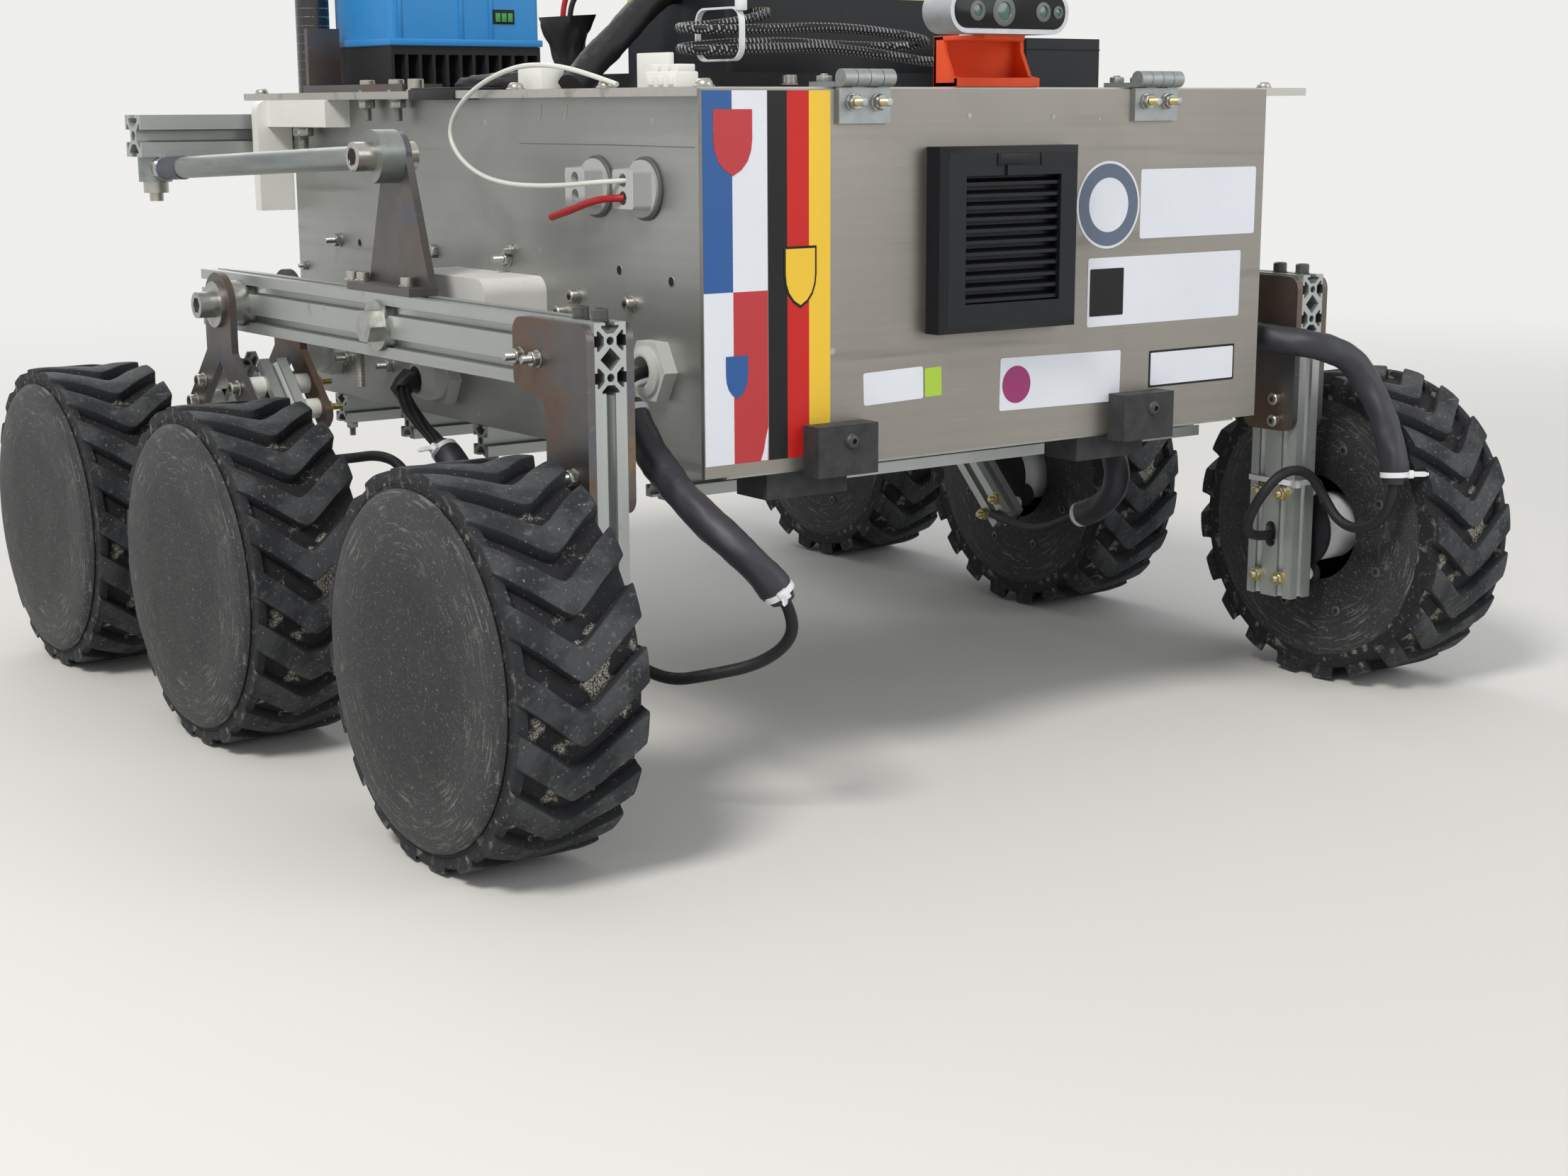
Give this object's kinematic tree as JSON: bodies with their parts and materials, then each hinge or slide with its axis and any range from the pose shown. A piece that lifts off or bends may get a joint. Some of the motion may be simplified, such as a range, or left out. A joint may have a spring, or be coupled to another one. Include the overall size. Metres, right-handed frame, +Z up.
{
  "type": "planetary rover prototype",
  "caption": "Wheeled planetary rover: sheet-metal equipment box on rocker-bogie legs, lugged wheels on gear motors, hinged front door with a filter grille.",
  "frame": {"origin": "on the floor under the centre of the wheelbase, midway between the wheels' outer faces", "axes": "+Z up, the front door faces -Y, +X towards the rover's left"},
  "size_m": [0.8, 0.808, 0.715],
  "materials": {
    "black_metal": "matte",
    "black_plastic": "matte",
    "blue_paint": "gloss",
    "cable_black": "matte",
    "cable_white": "matte",
    "camera_shell": "matte",
    "carbon": "gloss",
    "dark_steel": "brushed",
    "grey_plastic": "matte",
    "motor_white": "matte",
    "orange_plastic": "matte",
    "profile_aluminium": "anodised",
    "sheet_aluminium": "brushed",
    "tyre_rubber": "matte",
    "wheel_plastic": "matte",
    "white_plastic": "matte",
    "yellow_plastic": "matte",
    "zinc_steel": "polished"
  },
  "bodies": {
    "chassis": {"base_rails": "profile_aluminium", "battery_pack": "black_plastic", "bogie_legs": "profile_aluminium", "bogie_pivots": "zinc_steel", "bogie_plates": "dark_steel", "cable_bundle": "cable_black", "cable_entries": "grey_plastic", "cable_front_l": "cable_black", "cable_front_r": "cable_black", "cable_middle_l": "cable_black", "cable_middle_r": "cable_black", "cable_white": "cable_white", "camera_bracket": "orange_plastic", "control_base": "black_plastic", "control_box": "black_plastic", "control_lid": "yellow_plastic", "converter": "blue_paint", "deck_plate": "sheet_aluminium", "depth_camera": "camera_shell", "differential_bar": "profile_aluminium", "differential_pivot": "zinc_steel", "door_catches": "black_plastic", "floor_plate": "sheet_aluminium", "front_box": "black_plastic", "front_legs": "profile_aluminium", "glands": "grey_plastic", "gussets": "dark_steel", "heatsink": "black_metal", "hinge_deck_leaves": "zinc_steel", "link_bolts": "zinc_steel", "link_brackets": "dark_steel", "link_rods": "zinc_steel", "mast_bracket": "dark_steel", "mast_tube": "carbon", "motor_plates": "black_metal", "motors": "motor_white", "nylon_spacers": "white_plastic", "pivot_housings": "white_plastic", "rear_bracket": "white_plastic", "rear_panel": "sheet_aluminium", "rocker_beams": "profile_aluminium", "rocker_pivots": "zinc_steel", "side_panel_l": "sheet_aluminium", "side_panel_r": "sheet_aluminium"},
    "front_door": {"door_panel": "sheet_aluminium", "filter_grille": "grey_plastic", "door_blocks": "black_plastic", "hinge_door_leaves": "zinc_steel"},
    "front_wheel_r": {"wheel_front_r": "wheel_plastic", "tyre_front_r": "tyre_rubber"},
    "front_wheel_l": {"wheel_front_l": "wheel_plastic", "tyre_front_l": "tyre_rubber"},
    "middle_wheel_r": {"wheel_middle_r": "wheel_plastic", "tyre_middle_r": "tyre_rubber"},
    "middle_wheel_l": {"wheel_middle_l": "wheel_plastic", "tyre_middle_l": "tyre_rubber"},
    "rear_wheel_r": {"wheel_rear_r": "wheel_plastic", "tyre_rear_r": "tyre_rubber"},
    "rear_wheel_l": {"wheel_rear_l": "wheel_plastic", "tyre_rear_l": "tyre_rubber"}
  },
  "joints": [
    {"name": "front_wheel_r_spin", "type": "hinge", "parent": "chassis", "child": "front_wheel_r", "pos_m": [-0.3545, -0.294, 0.11], "axis": [1, 0, 0], "continuous": true},
    {"name": "front_wheel_l_spin", "type": "hinge", "parent": "chassis", "child": "front_wheel_l", "pos_m": [0.3545, -0.294, 0.11], "axis": [1, 0, 0], "continuous": true},
    {"name": "middle_wheel_r_spin", "type": "hinge", "parent": "chassis", "child": "middle_wheel_r", "pos_m": [-0.3545, 0.023, 0.11], "axis": [1, 0, 0], "continuous": true},
    {"name": "middle_wheel_l_spin", "type": "hinge", "parent": "chassis", "child": "middle_wheel_l", "pos_m": [0.3545, 0.023, 0.11], "axis": [1, 0, 0], "continuous": true},
    {"name": "rear_wheel_r_spin", "type": "hinge", "parent": "chassis", "child": "rear_wheel_r", "pos_m": [-0.3545, 0.294, 0.11], "axis": [1, 0, 0], "continuous": true},
    {"name": "rear_wheel_l_spin", "type": "hinge", "parent": "chassis", "child": "rear_wheel_l", "pos_m": [0.3545, 0.294, 0.11], "axis": [1, 0, 0], "continuous": true},
    {"name": "front_door_hinge", "type": "hinge", "parent": "chassis", "child": "front_door", "pos_m": [0, -0.322, 0.42], "axis": [-1, 0, 0], "range_deg": [0, 95]}
  ]
}
